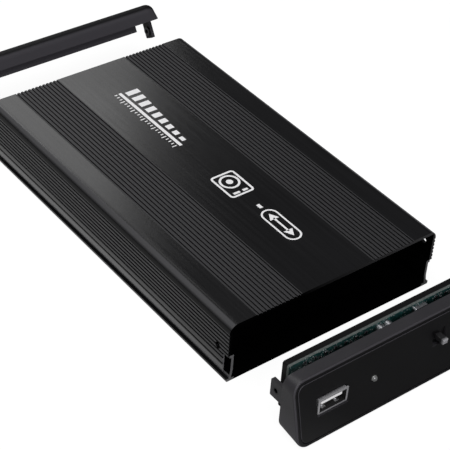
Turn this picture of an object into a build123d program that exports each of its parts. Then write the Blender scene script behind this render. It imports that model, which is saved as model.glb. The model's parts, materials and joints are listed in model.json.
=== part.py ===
from build123d import *
import os
from math import atan2, cos, degrees, floor, hypot, pi, radians, sin, tan

# External 3.5 inch hard disk drive: a ribbed two-part aluminium shell, a front cap that carries the
# bridge board with its ports, a plain rear cap, and the bare drive that lives inside the shell.
# Millimetres. X runs across, Y along the shell with the ports at -Y, Z up.
# The origin is the centre of the shell's flat underside.
# The two caps are drawn off the shell: every piece is first built where it sits when the case is
# closed, and then moved to its drawn-off place by the functions near the end of this file.

# ---------------------------------------------------------------- shell
shell_width = 115.0
shell_height = 31.0
shell_length = 191.0
cover_wall = 1.7
top_corner_radius = 4.2
rib_pitch = 2.03
groove_width = 0.95
groove_depth = 0.5
top_flat_edge = 13.5          # smooth band beside each top edge
top_flat_middle = 39.0        # smooth band down the middle
side_flat_top = 4.0           # smooth band below each top edge
side_rib_bottom = 10.4        # height where the side ribs stop
seam_height = 2.8             # the cover's sides stop here, just above the tray's lip
strip_top = 8.3               # top of the smooth strip low on each side
strip_groove = 0.8
strip_slope = 0.8             # the strip leans in by this much towards the seam
skirt_wall = 0.9              # the cover's sides are thinner low down, where the tray's walls stand
skirt_top = 14.4              # the cover's inner step here rests on the tray's flanges
skirt_relief = 3.3            # the skirt stops this short of each end

tray_floor = 1.5
tray_edge_radius = 0.6
tray_foot_height = 6.0        # below this the tray's walls lean out to their feet
tray_foot_spread = 0.8
tray_wall = 1.2
tray_wall_gap = 1.0           # from the skirt's inner face to the tray's wall
tray_flange = 1.3             # the wall's upper edge turns out towards the skirt
tray_flange_gap = 0.2
rail_width = 3.0              # two low rails on the tray's floor carry the drive
rail_height = 1.0
rail_spacing = 70.0

# ---------------------------------------------------------------- caps
cap_wall = 1.8
cap_low_corner_radius = 8.0
cap_far_low_corner_radius = 5.0    # the corners' radii change towards these away from the seam
front_far_corner_radius = 8.0
rear_far_corner_radius = 13.0
cap_far_depth = 14.2
front_depth_top = 5.8
front_depth_bottom = 13.4
cap_face_thickness = 2.2
front_edge_radius = 1.0
bezel_inset = 1.7             # a fine groove runs round the face, this far inside its edge
bezel_width = 0.5
bezel_depth = 0.6
bezel_corner_radius = 4.4
bezel_edge_radius = 0.35      # rounding of the panel inside the groove
rear_depth_top = 9.1
rear_depth_bottom = 6.5
rear_edge_radius = 4.5
tongue_side_inset = 15.0      # the rear cap's tongue slips in under the cover, this far from its sides
tongue_length = 3.4
tongue_thickness = 1.3
tongue_gap = 0.6
tongue_hold = 1.8             # how far the tongue reaches back into the cap
inside_gap = 0.3              # from the shell's inner faces to what slides into it

ear_thickness = 1.8
ear_foot_depth = 3.2          # how far the ear's foot reaches back into the cap
ear_tip_radius = 0.6
# the front cap's left ear is broad and low; its right ear and both of the rear cap's are narrow and high
broad_ear_length = 10.6
broad_ear_half_height = 4.5
broad_ear_gusset_height = 4.6     # the ear's upper edge rises by this much towards the cap
broad_ear_gusset_length = 3.6
broad_ear_height = 15.7           # height of its screw axis
broad_screw_inset = 7.2           # from the seam between cap and shell to its screw axis
narrow_ear_length = 9.1
narrow_ear_half_height = 3.0
narrow_ear_from_top = 8.4
narrow_screw_inset = 5.25
side_hole_radius = 1.6
insert_radius = 1.8
insert_bore_radius = 1.1
insert_rim_radius = 2.4
insert_rim = 0.5
pivot_gap = 0.05

# ---------------------------------------------------------------- what the front cap carries
board_side_gap = 1.3          # from the ears' inserts to the board
board_floor_gap = 1.9
board_top_gap = 0.5
board_thickness = 1.2
board_setback = 4.9           # from the seam back to the board's front face
backplate_thickness = 3.0
backplate_inset = 0.2
backplate_window = 0.5
port_height = 15.6
port_reach = 8.0              # the ports' cut-outs are cut from this far outside to as far inside
boss_places = [(-27.0, 7.0), (31.5, 7.0), (-5.0, 17.5)]
boss_radius = 2.6
boss_bore_radius = 1.0
board_hole_gap = 0.3
board_corner_radius = 1.0
board_screw_head_radius = 2.3
board_screw_head = 1.3
board_screw_bite = 5.0
board_screw_end_gap = 0.4

usb_from_side = 19.1          # each port's axis, from the cap's nearer side
usb_width = 14.6
usb_height = 6.9
usb_metal = 0.45
usb_lip = 0.5
usb_length = 12.4
usb_stands_out = 0.35
usb_back_wall = 1.2
usb_block_length = 3.0        # the moulded block that holds the tongue
usb_tongue_width = 10.8
usb_tongue_thickness = 1.9
usb_tongue_recess = 1.0
usb_contact_width = 1.1
usb_contact_pitch = 2.3
usb_contact_thickness = 0.2
usb_contact_setback = 0.8
usb_block_gap = 0.05
usb_tongue_rise = 1.15

led_from_usb = 22.3
led_radius = 1.5
led_flange_radius = 1.9
led_stands_out = 0.5
led_body_length = 6.0
led_flange = 1.0
led_leg = 0.5
led_leg_pitch = 1.8

button_from_side = 37.3
button_width = 2.8
button_height = 2.3
button_stands_out = 4.2
button_travel = 2.0
button_recess = 1.1
button_recess_margin = 2.2
button_gap = 0.25
button_z = 19.5
button_bite = 1.2             # how far the button reaches into the switch at rest
button_end_gap = 0.4
button_edge_radius = 0.5
switch_size = 8.6
switch_setback = 3.6          # from the face to the front of the switch

jack_from_side = 16.5
jack_radius = 5.4
jack_bore_radius = 3.2
jack_pin_radius = 1.0
jack_size = 9.6
jack_shoulder = 4.0
jack_stands_out = 0.3
jack_bore_depth = 9.0
jack_pin_setback = 1.0

fit_gap = 0.25                # clearance round each port in the cap's face

chip_from_button = 12.2
chip_z = 13.0
chip_size = 10.0
chip_thickness = 1.4
cans_from_button = [22.8, 18.4]
can_radius = 2.0
can_length = 4.6
can_edge_radius = 0.4
can_margin = 1.0
crystal_from_button = 0.4
crystal_width = 7.6
crystal_height = 3.0
crystal_thickness = 2.2
# rows of small parts: side, first part from that edge of the board, how many
small_part_rows = [(-1, 8.0, 13), (1, 21.0, 7)]
small_part_pitch = 2.7
small_part_margin = 1.7
small_part_stagger = 1.3
resistor_length = 1.7
resistor_width = 1.1
resistor_thickness = 0.6
capacitor_thickness = 0.8
diode_length = 1.5
diode_width = 0.9
diode_thickness = 0.5

# ---------------------------------------------------------------- connector between board and drive
sata_width = 37.4
sata_height = 5.2
sata_length = 11.4
sata_nose = 4.0
sata_nose_width = 34.4
sata_nose_height = 3.6
sata_height_axis = 5.6        # above the drive's underside
plug_gap = 0.4
blade_slot_depth = 1.5
blade_thickness = 0.9
blade_ends = [(-15.0, -5.0), (-2.0, 15.0)]    # the signal and the power blade, from X to X

# ---------------------------------------------------------------- bare drive
drive_side_room = 3.6         # from the tray's walls to the drive's sides
drive_top_room = 0.6
drive_length = 147.0
drive_corner_radius = 3.0
drive_push_back = 12.0        # how far the drive stands back from the plugged-in place
drive_floor_gap = 0.1
drive_plug_gap = 1.0          # from the receptacle's body to the drive's end when plugged in
drive_cover_thickness = 1.4
drive_cover_step = 0.5
drive_base_floor = 6.6
gasket_thickness = 0.5
gasket_width = 1.3
well_side_wall = 2.5          # the platters' well stays inside the casting's sides by this much
well_end_wall = 1.7
well_rim_gap = 0.8            # from the platters' rim to the well
room_side_wall = 4.8
room_corner_radius = 6.0
room_margin = 4.5             # from the coil's outer reach to the end of the actuator's room
plug_end_wall = 10.5          # from the connector's end to the actuator's room
platter_thickness = 1.2
platter_gap = 2.6
lower_platter_height = 12.6
hub_radius = 12.5
hub_flange_radius = 15.5
hub_flange_thickness = 1.6
hub_foot_gap = 0.5
shaft_radius = 2.5
shaft_step = 0.4              # the shaft ends this far below the top of the clamp
running_gap = 0.05
clamp_radius = 15.0
clamp_thickness = 1.6
clamp_bore_gap = 1.2
clamp_pit_radius = 1.1
clamp_pit_circle = 9.0
clamp_pit_count = 6
clamp_pit_floor = 0.5
motor_radius = 14.0
motor_height = 2.6
motor_recess = 0.4

pivot_rim_gap = 7.0           # the pivot stands this far beyond the platters' rim, along the drive
pivot_post_radius = 3.0
pivot_post_stands_out = 0.8
pivot_post_floor = 0.4
barrel_radius = 6.6
barrel_gap = 0.6
barrel_cap = 1.0
arm_length = 50.0
arm_thickness = 0.9
arm_root_half_width = 5.2
arm_tip_half_width = 1.7
arm_slot_place = 21.0
arm_slot_length = 15.0
arm_slot_width = 3.0
park_rim_gap = 3.7            # parked heads stand this far beyond the platters' rim
inner_track_radius = 21.0
coil_inner_radius = 11.0
coil_outer_radius = 27.5
coil_wall_gap = 0.5           # from the coil's reach to the side of the actuator's room
coil_half_angle = 22.0
coil_fork_angle = 5.0
coil_window_angle = 11.0
coil_thickness = 2.4
coil_limb = 3.4
magnet_thickness = 2.2
magnet_margin = 1.4
magnet_gap = 0.9
magnet_post_radius = 1.6
magnet_post_circle = 20.0
magnet_post_angle = 6.5       # beyond the fork's sweep
magnet_end_angle = 12.0
wall_gap = 0.3
slider_length = 1.3
slider_setback = 0.65
slider_width = 1.1
slider_thickness = 0.32
ramp_angle = 7.0
ramp_length = 4.4
ramp_width = 3.2
ramp_cap = 0.6
filter_length = 10.0
filter_width = 4.0
filter_height = 9.0
filter_inset = 4.0
filter_from_pivot = 24.0

pcb_pocket_depth = 3.4
pcb_pocket_gap = 0.6
pcb_length = 92.0
pcb_side_wall = 5.8
pcb_thickness = 1.2
pcb_recess = 0.5
pcb_end_gap = 0.4
pcb_motor_gap = 2.0
pcb_chip_thickness = 1.1
# the drive board's chips: x, y, width, length
pcb_chips = [(-18.0, 30.0, 16.0, 16.0), (6.0, 30.0, 11.0, 8.0), (26.0, 32.0, 9.0, 9.0)]
pcb_screw_inset = 5.0
pcb_screw_from_end = 12.0
pcb_screw_head_radius = 1.9
pcb_screw_head = 0.45
pcb_screw_bite = 2.0
plug_wall = 1.2
plug_length = 7.2
plug_setback = 0.2
plug_top_wall = 0.8
plug_room = 0.4

cover_screw_radius = 1.0
cover_screw_bite = 3.5
cover_screw_end_gap = 0.5
cover_screw_head_radius = 2.2
cover_screw_head = 0.9
cover_screw_gap = 0.2
cover_screw_inset = 3.6
cover_screw_middle_inset = 2.4
cover_screw_from_pivot = 18.0

past = 1.0                     # cutting shapes reach this far beyond what they cut

half_length = shell_length / 2
half_width = shell_width / 2
inner_half_width = half_width - cover_wall
inner_top = shell_height - cover_wall
skirt_inner = half_width - skirt_wall
tray_outer = skirt_inner - tray_wall_gap
tray_inner = tray_outer - tray_wall
ear_outer = tray_inner - inside_gap
front_seam = -half_length
rear_seam = half_length
tongue_half_width = half_width - tongue_side_inset
usb_x = usb_from_side - half_width
led_x = usb_x + led_from_usb
button_x = half_width - button_from_side
jack_x = half_width - jack_from_side
board_half_width = ear_outer - ear_thickness - insert_rim - board_side_gap
board_bottom = tray_floor + board_floor_gap
board_top = inner_top - board_top_gap

# How far each cap is drawn off, and how far the rear cap is tipped about its screw axis.
front_draw = 34.3
rear_draw = 30.7
rear_tip = 59.0


def block(x0, x1, y0, y1, z0, z1):
    """A box between two corners."""
    return Pos((x0 + x1) / 2, (y0 + y1) / 2, (z0 + z1) / 2) * Box(x1 - x0, y1 - y0, z1 - z0)


def rod_x(radius, x0, x1, y, z):
    return Pos((x0 + x1) / 2, y, z) * Rot(0, 90, 0) * Cylinder(radius, x1 - x0)


def rod_y(radius, y0, y1, x, z):
    return Pos(x, (y0 + y1) / 2, z) * Rot(90, 0, 0) * Cylinder(radius, y1 - y0)


def rod_z(radius, z0, z1, x=0.0, y=0.0):
    return Pos(x, y, (z0 + z1) / 2) * Cylinder(radius, z1 - z0)


def slab_y(outline, y0, y1):
    """Extrude an outline drawn in X and Z from y0 to y1."""
    return Pos(0, y1, 0) * extrude(Plane.XZ * outline, y1 - y0)


def slab_z(outline, z0, z1):
    """Extrude an outline drawn in X and Y from z0 to z1."""
    return Pos(0, 0, z0) * extrude(outline, z1 - z0)


def solids_of(shape):
    """One flat list of the solids in a shape or a list of shapes."""
    if isinstance(shape, (list, tuple)):
        return [solid for piece in shape for solid in solids_of(piece)]
    return list(shape.solids())


def rounded_outline(half, height, low_radius, high_radius, inset=0.0):
    """The end view of shell and caps: flat all round, with its own radius at the low and high corners."""
    low = max(low_radius - inset, 0.4)
    high = max(high_radius - inset, 0.4)
    outline = Pos(0, height / 2) * Rectangle(2 * (half - inset), height - 2 * inset)
    corners = outline.vertices().sort_by(Axis.Y)
    outline = fillet(corners[:2], low)
    corners = [v for v in outline.vertices() if v.Y > height - inset - 0.001]
    return fillet(corners, high)


# ---------------------------------------------------------------- shell
def groove_centres(start, stop):
    """Centres of the grooves that fill a ribbed band, evenly spread about its middle."""
    count = max(int(floor((stop - start) / rib_pitch)), 1)
    first = (start + stop) / 2 - (count - 1) * rib_pitch / 2
    return [first + i * rib_pitch for i in range(count)]


def top_grooves():
    cuts = []
    wide, narrow = groove_width / 2, groove_width / 4
    for side in (-1, 1):
        for x in groove_centres(top_flat_middle / 2, half_width - top_flat_edge):
            cuts.append(Polygon((side * x - wide, shell_height), (side * x + wide, shell_height),
                                (side * x + narrow, shell_height - groove_depth),
                                (side * x - narrow, shell_height - groove_depth), align=None))
    return cuts


def side_grooves():
    cuts = []
    wide, narrow = groove_width / 2, groove_width / 4
    for side in (-1, 1):
        outer, deep = side * half_width, side * (half_width - groove_depth)
        for z in groove_centres(side_rib_bottom, shell_height - side_flat_top):
            cuts.append(Polygon((outer, z - wide), (outer, z + wide), (deep, z + narrow),
                                (deep, z - narrow), align=None))
        cuts.append(Pos(side * (half_width - groove_depth / 2), strip_top)
                    * Rectangle(groove_depth, strip_groove))
    return cuts


def make_upper_shell():
    outer = rounded_outline(half_width, shell_height, 0.5, top_corner_radius)
    outer -= Pos(0, seam_height / 2) * Rectangle(shell_width, seam_height)
    inner_height = inner_top - seam_height
    outer -= Pos(0, seam_height + inner_height / 2) * Rectangle(2 * inner_half_width, inner_height)
    outer -= Pos(0, skirt_top / 2) * Rectangle(2 * skirt_inner, skirt_top)
    for side in (-1, 1):
        edge = side * half_width
        foot = edge - side * strip_slope
        outer -= Polygon((edge, strip_top), (edge, seam_height - past), (foot, seam_height - past),
                         (foot, seam_height), align=None)
    for cut in top_grooves() + side_grooves():
        outer -= cut
    cover = slab_y(outer, front_seam, rear_seam)
    for side in (-1, 1):
        x_in, x_out = sorted((side * (inner_half_width - past), side * (half_width + past)))
        for y_end, inward in ((front_seam, 1), (rear_seam, -1)):
            y0, y1 = sorted((y_end - inward, y_end + inward * skirt_relief))
            cover -= block(x_in, x_out, y0, y1, seam_height - past, skirt_top)
    for ear in front_ears + rear_ears:
        cover -= ear.bore(side_hole_radius, inner_half_width - past, half_width + past)
    return cover


def make_lower_shell():
    floor_plate = Pos(0, tray_floor / 2) * Rectangle(shell_width, tray_floor)
    outline = fillet(floor_plate.vertices().sort_by(Axis.Y)[:2], tray_edge_radius)
    for side in (-1, 1):
        outer, inner, spread = side * tray_outer, side * tray_inner, side * tray_foot_spread
        low = tray_floor / 2
        wall = [(outer, skirt_top), (outer, tray_foot_height), (outer + spread, low),
                (inner + spread, low), (inner, tray_foot_height), (inner, skirt_top)]
        outline += Polygon(*wall[::-side], align=None)
        flange_end = skirt_inner - tray_flange_gap
        outline += Pos(side * (tray_inner + flange_end) / 2, skirt_top - tray_flange / 2) \
            * Rectangle(flange_end - tray_inner, tray_flange)
        outline += Pos(side * rail_spacing / 2, tray_floor / 2 + rail_height / 2) \
            * Rectangle(rail_width, tray_floor + rail_height)
    return slab_y(outline, front_seam, rear_seam)


# ---------------------------------------------------------------- caps
def cap_block(depth_top, depth_bottom, far_radius, inset, extra):
    """The cap's outer form facing -Y: the shell's outline, cut off by a raked face."""
    near = rounded_outline(half_width, shell_height, cap_low_corner_radius, top_corner_radius, inset)
    far = rounded_outline(half_width, shell_height, cap_far_low_corner_radius, far_radius, inset)
    far = Pos(0, -cap_far_depth, 0) * (Plane.XZ * far)
    form = loft([(Plane.XZ * near).face(), far.face()], ruled=True)
    if extra > 0:
        form += slab_y(near, 0, extra)
    # side view of what stays, drawn in Y and Z, a little taller than the cap
    slope = (depth_bottom - depth_top) / shell_height
    over = 2 * past
    keep = Plane.YZ * Polygon((-depth_top + slope * over, shell_height + over), (extra, shell_height + over),
                              (extra, -over), (-depth_bottom - slope * over, -over), align=None)
    return form & extrude(keep, shell_width, both=True)


def front_face_y(z):
    """Y of the front cap's raked face at height z, measured from the seam."""
    return -(front_depth_bottom + (front_depth_top - front_depth_bottom) * z / shell_height)


front_rake = degrees(atan2(front_depth_bottom - front_depth_top, shell_height))


def on_face(z, shape):
    """Lay a shape drawn on XY against the raked face at height z, its Z pointing out of the face."""
    normal = (0, -cos(radians(front_rake)), sin(radians(front_rake)))
    face = Plane(origin=(0, front_seam + front_face_y(z), z), x_dir=(1, 0, 0), z_dir=normal)
    return face.location * shape


def at_port(x, z, shape):
    """Place a shape square to the shell at the face: its X is X, its Y is up, and its Z points out."""
    return Pos(x, front_seam + front_face_y(z), z) * Rot(90, 0, 0) * shape


def port_box(width, height, inner, outer):
    """A box about a port's axis, from depth `inner` (negative is inside the cap) to `outer`."""
    return Pos(0, 0, (inner + outer) / 2) * Box(width, height, outer - inner)


def port_rod(radius, inner, outer):
    return Pos(0, 0, (inner + outer) / 2) * Cylinder(radius, outer - inner)


class Ear:
    """A flat ear that reaches from a cap into the shell; `into` is +1 when the shell lies towards +Y."""

    def __init__(self, side, seam, into, broad):
        self.side, self.seam, self.into = side, seam, into
        self.height = broad_ear_height if broad else shell_height - narrow_ear_from_top
        self.half = broad_ear_half_height if broad else narrow_ear_half_height
        self.length = broad_ear_length if broad else narrow_ear_length
        self.rise = broad_ear_gusset_height if broad else 0.0
        self.axis_y = seam + into * (broad_screw_inset if broad else narrow_screw_inset)

    def plate(self):
        low, high = self.height - self.half, self.height + self.half
        root = self.seam - self.into * ear_foot_depth
        gusset = self.seam + self.into * broad_ear_gusset_length
        tip = self.seam + self.into * self.length
        points = [(root, low), (tip, low), (tip, high), (gusset, high), (self.seam, high + self.rise),
                  (root, high + self.rise)]
        x0 = ear_outer - ear_thickness if self.side > 0 else -ear_outer
        side_view = Plane.YZ * Polygon(*points, align=None)
        plate = extrude(Pos(x0, 0, 0) * side_view, ear_thickness, dir=(1, 0, 0))
        tips = [e for e in plate.edges().filter_by(Axis.X) if abs(e.center().Y - tip) < 0.01]
        return fillet(tips, ear_tip_radius)

    def foot(self):
        """A pad that ties the ear to the cap's side wall."""
        y0, y1 = sorted((self.seam, self.seam - self.into * ear_foot_depth))
        x0, x1 = sorted((self.side * (ear_outer - ear_thickness), self.side * (half_width - cap_wall / 2)))
        return block(x0, x1, y0, y1, self.height - self.half, self.height + self.half + self.rise)

    def bore(self, radius, x_near, x_far):
        """A rod on the screw axis between two distances from the middle."""
        x0, x1 = sorted((self.side * x_near, self.side * x_far))
        return rod_x(radius, x0, x1, self.axis_y, self.height)

    def insert(self, gap):
        """The threaded insert in the ear, with a thin rim on the inner face."""
        inner = ear_outer - ear_thickness - gap
        piece = self.bore(insert_radius, inner, ear_outer)
        piece += self.bore(insert_rim_radius, inner - insert_rim, inner)
        return piece - self.bore(insert_bore_radius, inner - insert_rim - past, ear_outer + past)


front_ears = [Ear(-1, front_seam, 1, True), Ear(1, front_seam, 1, False)]
rear_ears = [Ear(-1, rear_seam, -1, False), Ear(1, rear_seam, -1, False)]


def cap_shell(depth_top, depth_bottom, far_radius, edge_radius):
    """A hollow cap facing -Y with its seam at Y = 0."""
    outer = cap_block(depth_top, depth_bottom, far_radius, 0.0, 0.0)
    face = outer.faces().sort_by(Axis.Y)[0]
    outer = fillet(face.edges(), edge_radius)
    inner = cap_block(depth_top - cap_face_thickness, depth_bottom - cap_face_thickness, far_radius,
                      cap_wall, past)
    return outer - inner


def make_front_cap():
    cap = cap_shell(front_depth_top, front_depth_bottom, front_far_corner_radius, front_edge_radius)
    # posts for the bridge board, rooted in the face
    room = cap_block(front_depth_top - cap_face_thickness / 2, front_depth_bottom - cap_face_thickness / 2,
                     front_far_corner_radius, cap_wall, board_setback)
    for x, z in boss_places:
        cap += rod_y(boss_radius, -front_depth_bottom, board_setback, x, z) & room
        cap -= rod_y(boss_bore_radius, board_setback - board_screw_bite, board_setback, x, z)
    cap = Pos(0, front_seam, 0) * cap
    # a fine groove that leaves a thin frame round the face
    height = shell_height / cos(radians(front_rake))
    frame = Rectangle(shell_width - 2 * bezel_inset, height - 2 * bezel_inset)
    frame = fillet(frame.vertices(), bezel_corner_radius)
    panel = extrude(offset(frame, -bezel_width), bezel_depth)
    panel = fillet(panel.faces().sort_by(Axis.Z)[-1].edges(), bezel_edge_radius)
    groove = Pos(0, 0, -bezel_depth) * (extrude(frame, bezel_depth + bezel_inset) - panel)
    above = extrude(frame, bezel_inset)
    cap -= on_face(shell_height / 2, groove)
    cap -= on_face(shell_height / 2, above)
    for ear in front_ears:
        cap += ear.plate()
        cap += ear.foot()
    cap &= cap_limits(front_seam, 1, front_depth_bottom)
    usb_open = 2 * (usb_lip + fit_gap)
    cap -= at_port(usb_x, port_height, port_box(usb_width + usb_open, usb_height + usb_open,
                                                -port_reach, port_reach))
    cap -= at_port(led_x, port_height, port_rod(led_radius + fit_gap / 2, -port_reach, port_reach))
    slot_width, slot_height = button_width + 2 * button_gap, button_height + 2 * button_gap
    cap -= at_port(button_x, button_z, port_box(slot_width, slot_height, -port_reach, port_reach))
    cap -= at_port(button_x, button_z, port_box(slot_width + 2 * button_recess_margin,
                                                slot_height + 2 * button_recess_margin,
                                                -button_recess, port_reach))
    cap -= at_port(jack_x, port_height, port_rod(jack_radius + fit_gap, -port_reach, port_reach))
    for ear in front_ears:
        cap -= ear.bore(insert_radius, ear_outer - 2 * ear_thickness, ear_outer + ear_thickness)
    return cap


def cap_limits(seam, into, depth):
    """Everything of a cap lies inside this: the shell's outline outside, the shell's hollow inside."""
    y0, y1 = sorted((seam, seam - into * (depth + past)))
    outside = block(-half_width, half_width, y0, y1, 0, shell_height)
    y0, y1 = sorted((seam, seam + into * (max(broad_ear_length, narrow_ear_length) + past)))
    inside = block(-ear_outer, ear_outer, y0, y1, tray_floor + inside_gap, inner_top - inside_gap)
    return outside + inside


def make_rear_cap():
    cap = cap_shell(rear_depth_top, rear_depth_bottom, rear_far_corner_radius, rear_edge_radius)
    cap = Pos(0, rear_seam, 0) * Rot(0, 0, 180) * cap
    for ear in rear_ears:
        cap += ear.plate()
        cap += ear.foot()
    cap &= cap_limits(rear_seam, -1, max(rear_depth_top, rear_depth_bottom))
    tongue_top = inner_top - tongue_gap
    cap += block(-tongue_half_width, tongue_half_width, rear_seam - tongue_length, rear_seam + tongue_hold,
                 tongue_top - tongue_thickness, tongue_top)
    # a bridge inside the cap between the tongue and the cap's upper wall
    cap += block(-tongue_half_width, tongue_half_width, rear_seam, rear_seam + tongue_hold,
                 tongue_top - tongue_thickness, shell_height - cap_wall / 2)
    for ear in rear_ears:
        cap -= ear.bore(insert_radius + pivot_gap, ear_outer - 2 * ear_thickness, ear_outer + ear_thickness)
    return cap


# ---------------------------------------------------------------- bridge board and ports
board_front = front_seam + board_setback
board_back = board_front + board_thickness
plate_back = board_back + backplate_thickness
drive_bottom = tray_floor + rail_height + drive_floor_gap
sata_z = drive_bottom + sata_height_axis
receptacle_end = board_back + sata_length
nose_end = receptacle_end + sata_nose


def board_outline(inset=0.0):
    middle = (board_bottom + board_top) / 2
    sheet = Pos(0, middle) * Rectangle(2 * (board_half_width - inset), board_top - board_bottom - 2 * inset)
    return fillet(sheet.vertices(), board_corner_radius)


def make_bridge_board():
    board = slab_y(board_outline(), board_front, board_back)
    for x, z in boss_places:
        board -= rod_y(boss_bore_radius + board_hole_gap, board_front - past, board_back + past, x, z)
    return board


def make_board_backplate():
    plate = slab_y(board_outline(backplate_inset), board_back, plate_back)
    for x, z in boss_places:
        plate -= rod_y(board_screw_head_radius + backplate_window, board_back - past, plate_back + past,
                       x, z)
    half_x, half_z = sata_width / 2 + backplate_window, sata_height / 2 + backplate_window
    plate -= block(-half_x, half_x, board_back - past, plate_back + past, sata_z - half_z, sata_z + half_z)
    return plate


def cross_recess(radius, depth):
    """A cross-head recess, cut downwards from Z = 0."""
    bar = Pos(0, 0, -depth / 2) * Box(2 * radius, radius * 0.4, depth)
    return bar + Rot(0, 0, 90) * bar


def pan_screw(head_radius, head_height, shank_radius, shank_length):
    """A small pan-head screw along Z with its head's underside at Z = 0 and its shank going down."""
    head = Pos(0, 0, head_height / 2) * Cylinder(head_radius, head_height)
    head = fillet(head.edges().sort_by(Axis.Z)[-1], head_height / 2)
    screw = head + Pos(0, 0, -shank_length / 2) * Cylinder(shank_radius, shank_length)
    return screw - Pos(0, 0, head_height) * cross_recess(head_radius / 2, head_height / 2)


def make_board_screws():
    """The screws come from behind, their heads on the board's back face."""
    screw = pan_screw(board_screw_head_radius, board_screw_head, boss_bore_radius,
                      board_thickness + board_screw_bite - board_screw_end_gap)
    return [Pos(x, board_back, z) * Rot(-90, 0, 0) * screw for x, z in boss_places]


def in_front_of_board(shape):
    """Trim what stands in front of the board flat against it."""
    return shape - block(-shell_width, shell_width, board_front, board_front + shell_length, -shell_height,
                         2 * shell_height)


def port_depth_to_board(z):
    """How far the board's front face lies inside the face at height z."""
    return board_setback - front_face_y(z)


def make_usb_shell():
    inner, outer = usb_stands_out - usb_length, usb_stands_out
    can = port_box(usb_width, usb_height, inner, outer)
    can += port_box(usb_width + 2 * usb_lip, usb_height + 2 * usb_lip, outer - usb_lip, outer)
    can -= port_box(usb_width - 2 * usb_metal, usb_height - 2 * usb_metal, inner + usb_back_wall,
                    outer + past)
    for side in (-1, 1):
        # a leg on each side runs back to the board
        leg = port_box(usb_metal, usb_height / 2, -port_depth_to_board(port_height), inner + usb_back_wall)
        can += Pos(side * (usb_width - usb_metal) / 2, 0, 0) * leg
    return at_port(usb_x, port_height, can)


def usb_block_span():
    inner = usb_stands_out - usb_length + usb_back_wall
    return inner, inner + usb_block_length


def make_usb_tongue():
    """The tongue that carries the contacts, on a moulded block at the back of the metal shell."""
    inner, outer = usb_block_span()
    side = 2 * (usb_metal + usb_block_gap)
    body = port_box(usb_width - side, usb_height - side, inner, outer)
    blade = port_box(usb_tongue_width, usb_tongue_thickness, outer, usb_stands_out - usb_tongue_recess)
    return at_port(usb_x, port_height, body + Pos(0, usb_tongue_rise, 0) * blade)


def make_usb_contacts():
    strip = port_box(usb_contact_width, usb_contact_thickness, usb_block_span()[1],
                     usb_stands_out - usb_tongue_recess - usb_contact_setback)
    y = usb_tongue_rise - usb_tongue_thickness / 2 - usb_contact_thickness / 2
    return [at_port(usb_x, port_height, Pos((i - 1.5) * usb_contact_pitch, y, 0) * strip) for i in range(4)]


def make_led():
    dome_start = led_stands_out - led_radius / 2
    led = port_rod(led_radius, -led_body_length, dome_start)
    dome = Pos(0, 0, dome_start) * Sphere(led_radius)
    led += dome & port_rod(led_radius, dome_start, dome_start + led_radius)
    led += port_rod(led_flange_radius, -led_body_length, -led_body_length + led_flange)
    for side in (-1, 1):
        leg = port_box(led_leg, led_leg, -port_depth_to_board(port_height), -led_body_length)
        led += Pos(side * led_leg_pitch / 2, 0, 0) * leg
    return at_port(led_x, port_height, led)


def make_switch_body():
    """A latching push switch on the board; its button slides in the square bore."""
    front = -switch_setback
    case = port_box(switch_size, switch_size, -port_depth_to_board(button_z), front)
    bore = port_box(button_width + 2 * button_gap, button_height + 2 * button_gap,
                    front - button_bite - button_travel - button_end_gap, front + past)
    return at_port(button_x, button_z, case - bore)


def make_power_button():
    button = port_box(button_width, button_height, -switch_setback - button_bite, button_stands_out)
    button = fillet(button.faces().sort_by(Axis.Z)[-1].edges(), button_edge_radius)
    return at_port(button_x, button_z, button)


def make_jack_body():
    shoulder = -jack_shoulder
    barrel = port_rod(jack_radius, shoulder, jack_stands_out)
    case = port_box(jack_size, jack_size, -port_depth_to_board(port_height), shoulder)
    return at_port(jack_x, port_height, barrel + case - port_rod(jack_bore_radius, -jack_bore_depth, past))


def make_jack_pin():
    pin = port_rod(jack_pin_radius, -jack_bore_depth, -jack_pin_setback)
    pin = fillet(pin.edges().sort_by(Axis.Z)[-1], jack_pin_radius / 2)
    return at_port(jack_x, port_height, pin)


def on_board(x, z, width, height, thickness):
    """A part soldered to the board's front face."""
    return block(x - width / 2, x + width / 2, board_front - thickness, board_front,
                 z - height / 2, z + height / 2)


def make_bridge_chip():
    return on_board(button_x - chip_from_button, chip_z, chip_size, chip_size, chip_thickness)


def make_board_capacitors():
    """Small aluminium can capacitors that stand on the board's front face."""
    cans = []
    for from_button in cans_from_button:
        can = rod_y(can_radius, board_front - can_length, board_front, button_x - from_button,
                    board_top - can_radius - can_margin)
        cans.append(fillet(can.edges().sort_by(Axis.Y)[0], can_edge_radius))
    return cans


def make_board_crystal():
    can = on_board(button_x - crystal_from_button, board_top - crystal_height / 2 - can_margin, crystal_width, crystal_height,
                   crystal_thickness)
    return fillet(can.edges().filter_by(Axis.Y), crystal_height / 3)


def make_small_parts():
    """Rows of chip resistors and capacitors along the board's top edge, in a few sizes."""
    sizes = [(resistor_length, resistor_width, resistor_thickness),
             (resistor_width, resistor_length, capacitor_thickness),
             (diode_length, diode_width, diode_thickness)]
    parts = []
    for side, from_edge, count in small_part_rows:
        start = side * (board_half_width - from_edge)
        for i in range(count):
            width, height, thickness = sizes[i % len(sizes)]
            z = board_top - small_part_margin - small_part_stagger * (i % 2)
            parts.append(on_board(start + i * small_part_pitch, z, width, height, thickness))
    return parts


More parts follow.
